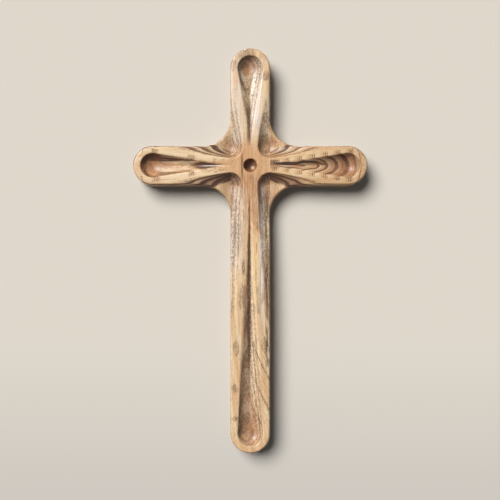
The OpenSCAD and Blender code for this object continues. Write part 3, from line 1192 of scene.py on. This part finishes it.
# %% One block's finish
def wood(name, tan, seed, rings, marks, warp, dark, band, sunk, ticks=None, own=None):
    """The finish of one block. Tan is its clear colour, warp is how far its rings wander, dark is
    their strength, band is the dark share of a ring, and sunk is how much rust its steep walls get
    and how much painted shade its sides turned from the light get. An arm has ladders, with ticks
    for where they fade in, and own for how far along its flute a drawn figure takes the place of
    the rings."""
    material, shader, start, axes = new_material(name)
    board = Board(start, axes, "x" if ticks else "z", seed)
    share = band if ticks else board.in_cut * (band - 0.2) + 0.2
    board.grow_rings(rings(board), warp, share)
    lines, spots = arm_lines(board, ticks, own) if ticks else upright_lines(board)
    colour = marks(board, clear_wood(board, tan, 0.5 if ticks else 0.2))
    # Rust on steep walls, and painted shade on the side turned from the light and in the deepest
    # places.
    colour = stain_and_painted_shade(board, colour, sunk)
    colour = (lines * dark).blend(colour, BROWN)
    colour = hollow_stain_and_painted_light(board, (spots * 0.65).blend(colour, DEEP))
    bounced = start.node("ShaderNodeLightPath", output="Is Diffuse Ray")
    plug(shader, "Base Color", (bounced * 0.95).blend(colour, BROWN))
    plug(shader, "Roughness", lines.most(spots) * 0.25 + board.fibre * 0.15 + 0.4)
    add_relief(shader, 0.6, 0.15, board.fibre * 0.25 - lines * 0.7 - spots * 0.5)
    shader.inputs["Coat Weight"].default_value = 0.2
    shader.inputs["Coat Roughness"].default_value = 0.32
    print(f"{name}: {len(material.node_tree.nodes)} nodes")
    return material


# %% Dress the blocks
upright_look = {"tan": UPRIGHT_TAN, "seed": 4.0, "rings": upright_rings, "marks": upright_marks}
upright_look |= {"warp": 1.1, "dark": 0.8, "band": 0.44, "sunk": 0.2}
right_look = {"tan": RIGHT_TAN, "seed": 9.0, "rings": right_rings, "marks": right_arm_marks}
right_look |= {"warp": 0.6, "dark": 1.0, "band": 0.36, "sunk": 0.3, "ticks": (0, 1), "own": 34}
left_look = {"tan": LEFT_TAN, "seed": 2.3, "rings": left_rings, "marks": left_arm_marks}
left_look |= {"warp": 0.45, "dark": 1.0, "band": 0.52, "sunk": 0.3, "ticks": (28, 34), "own": 90}
looks = {"upright": upright_look, "right_arm": right_look, "left_arm": left_look}
finishes = {node: wood(f"{node}_wood", **look) for node, look in looks.items()}
for node, piece in carved.items():
    piece.data.materials.clear()
    piece.data.materials.append(finishes[node])
    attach(piece, "root")
    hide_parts(node)

# %% [markdown]
# The plate and its screws are zinc-plated steel, which has a fine brushed grain, and the dowels are
# bare turned wood. Their solids from the model are already the right shape.

# %% Steel and dowel finishes
PLATE_TONES = (0.58, 0.57, 0.54, 1), (0.42, 0.41, 0.39, 1)
SCREW_TONES = (0.64, 0.63, 0.60, 1), (0.46, 0.45, 0.43, 1)


def steel(name, bright, dark):
    """Brushed metal, clouded where its zinc has dulled."""
    material, shader, start, (x, y, z) = new_material(name)
    sheet = Block(start, z, x, y, 0.0)
    brushed, clouds = sheet.noise(14, 0.12, 1), sheet.noise(5, 5, 3, 3.0)
    plug(shader, "Base Color", (clouds.rise(0.35, 0.7) * 0.6).blend(bright, dark))
    plug(shader, "Roughness", brushed * 0.14 + clouds * 0.1 + 0.55)
    add_relief(shader, 0.3, 0.02, brushed)
    shader.inputs["Metallic"].default_value = 1.0
    return material


def dowel_wood(name):
    """Pale wood whose fibres run along the dowel."""
    material, shader, start, (x, y, z) = new_material(name)
    fibre = Block(start, x, y, z, 0.0).noise(20, 0.5, 2, 3.0)
    plug(shader, "Base Color", (fibre.rise(0.4, 0.7) * 0.7).blend(DOWEL_PALE, DOWEL_DARK))
    plug(shader, "Roughness", fibre * 0.2 + 0.55)
    return material


def dress(node, material):
    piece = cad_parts[node]
    piece.data.materials.clear()
    piece.data.materials.append(material)
    print(node, "wears", material.name)


# %% Dress the hidden pieces
dress("keyhole_plate", steel("plate_steel", *PLATE_TONES))
dress("hanger_screws", steel("screw_steel", *SCREW_TONES))
bare_wood = dowel_wood("bare_dowel_wood")
for node in DOWELS:
    dress(node, bare_wood)

# %% [markdown]
# The cross hangs on a pale painted wall. The wall is stage: it only catches the shadow. Seen from
# behind it is transparent, so that the back of the cross can be looked at. It gets a little darker
# towards the bottom.

# %% Wall
WALL_HALF = 3000.0
WALL_GAP = 0.3
UPPER_PAINT = (0.745, 0.688, 0.600, 1)
LOWER_PAINT = (0.630, 0.590, 0.535, 1)
DARKER_FROM, DARKEST_AT = -162, -304
corners = [(-1, -1), (1, -1), (1, 1), (-1, 1)]
places = [(a * WALL_HALF * MM, WALL_GAP * MM, b * WALL_HALF * MM) for a, b in corners]
wall_mesh = bpy.data.meshes.new("wall")
wall_mesh.from_pydata(places, [], [(0, 1, 2, 3)])
wall = add_object("wall", wall_mesh)


def wall_paint():
    """Matt paint, which only the front of the wall has."""
    material, shader, start, (x, y, z) = new_material("wall_paint")
    plug(shader, "Base Color", z.rise(DARKER_FROM, DARKEST_AT).blend(UPPER_PAINT, LOWER_PAINT))
    shader.inputs["Roughness"].default_value = 0.9
    shader.inputs["Specular IOR Level"].default_value = 0.1
    behind = start.node("ShaderNodeNewGeometry", output=6)
    clear = start.node("ShaderNodeBsdfTransparent")
    solid = Wire(start.tree, shader.outputs[0])
    mixed = start.node("ShaderNodeMixShader", None, {0: behind, 1: solid, 2: clear})
    start.tree.links.new(mixed.socket, start.tree.nodes["Material Output"].inputs["Surface"])
    return material


wall_mesh.materials.append(wall_paint())
print(f"the wall starts {WALL_GAP} mm behind the cross")

# %% [markdown]
# A soft sun from the upper left throws the shadow on the wall. The wood has a sharper sun of its
# own, a little more from the side, which models the carving, and a weak warm fill from the right.
# The even sky is weak where it lights and brighter where it is seen. A sun behind the wall lights
# the back of the cross for whoever looks there: the wall is left out of what blocks it.

# %% Lamps and sky
LAMPS = {
    "key": ((0.47, 1.0, -0.51), 3.48, 35),
    "raking": ((0.62, 0.9, -0.6), 3.95, 20),
    "fill": ((-0.4, 1.0, -0.1), 0.25, 120),
    "rear": ((0.0, -1.0, -0.5), 2.2, 20),
}
FILL_TINT = (1.0, 0.84, 0.66)
SKY_TINT = (0.93, 0.96, 1.0, 1)
SKY_LIGHT, SKY_SEEN = 0.08, 0.46


def sun(name, direction, strength, spread):
    """A sun that shines that way, with its spread in degrees."""
    lamp = bpy.data.lights.new(name, "SUN")
    lamp.energy, lamp.angle = strength, math.radians(spread)
    placed = add_object(name, lamp)
    placed.rotation_euler = Vector(direction).to_track_quat("-Z", "Y").to_euler()
    return placed


def only(name, pieces):
    """A collection of pieces, for a lamp that lights or is blocked by nothing else."""
    group = bpy.data.collections.new(name)
    for piece in pieces:
        group.objects.link(piece)
    return group


# %% Place the lamps
cross_only = only("cross_only", [*carved.values(), *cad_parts.values()])
lamps = {name: sun(name, *values) for name, values in LAMPS.items()}
lamps["key"].light_linking.receiver_collection = only("wall_only", [wall])
lamps["raking"].light_linking.receiver_collection = cross_only
lamps["fill"].light_linking.receiver_collection = cross_only
lamps["fill"].data.color = FILL_TINT
lamps["rear"].light_linking.blocker_collection = cross_only
print("lamps", ", ".join(f"{name} {lamp.data.energy:.2f}" for name, lamp in lamps.items()))

# %% Sky
world = bpy.data.worlds.new("sky")
bpy.context.scene.world = world
world.use_nodes = True
sky = Wire(world.node_tree)
kinds = "Is Camera Ray", "Is Glossy Ray", "Is Transmission Ray"
seen = [sky.node("ShaderNodeLightPath", output=kind) for kind in kinds]
seen = seen[0].most(seen[1]).most(seen[2])
background = world.node_tree.nodes["Background"]
background.inputs["Color"].default_value = SKY_TINT
plug(background, "Strength", seen * SKY_SEEN + SKY_LIGHT)
print(f"the sky lights with {SKY_LIGHT} and is seen with {SKY_LIGHT + SKY_SEEN:.2f}")

# %% [markdown]
# The camera stands square in front of the wall. The photograph tells how far: the cross is as tall
# there as HEIGHT_PX, and its crossing sits at CROSSING_PX from the top and AXIS_PX from the left.

# %% Camera
FRAME_PX = 500
HEIGHT_PX = 404.8
CROSSING_PX = 165.5
AXIS_PX = 250.3
LENS, SENSOR = 60.0, 36.0

mm_per_px = (HEAD + FOOT) / HEIGHT_PX
away = FRAME_PX * mm_per_px / 2 / (SENSOR / 2 / LENS)
level = CROSSING - (FRAME_PX / 2 - CROSSING_PX) * mm_per_px
aside = (FRAME_PX / 2 - AXIS_PX) * mm_per_px
camera = add_object("camera", bpy.data.cameras.new("camera"))
camera.data.lens, camera.data.sensor_width = LENS, SENSOR
camera.location = Vector((aside, EDGE_ROUND - BOARD - away, level)) * MM
camera.rotation_euler = (math.radians(90), 0, 0)
bpy.context.scene.camera = camera
print(f"the camera is {away:.0f} mm from the face")

# %% [markdown]
# Last, colours are shown as they are written.

# %% Colour and finish
bpy.context.scene.view_settings.view_transform = "Standard"
bpy.context.view_layer.update()
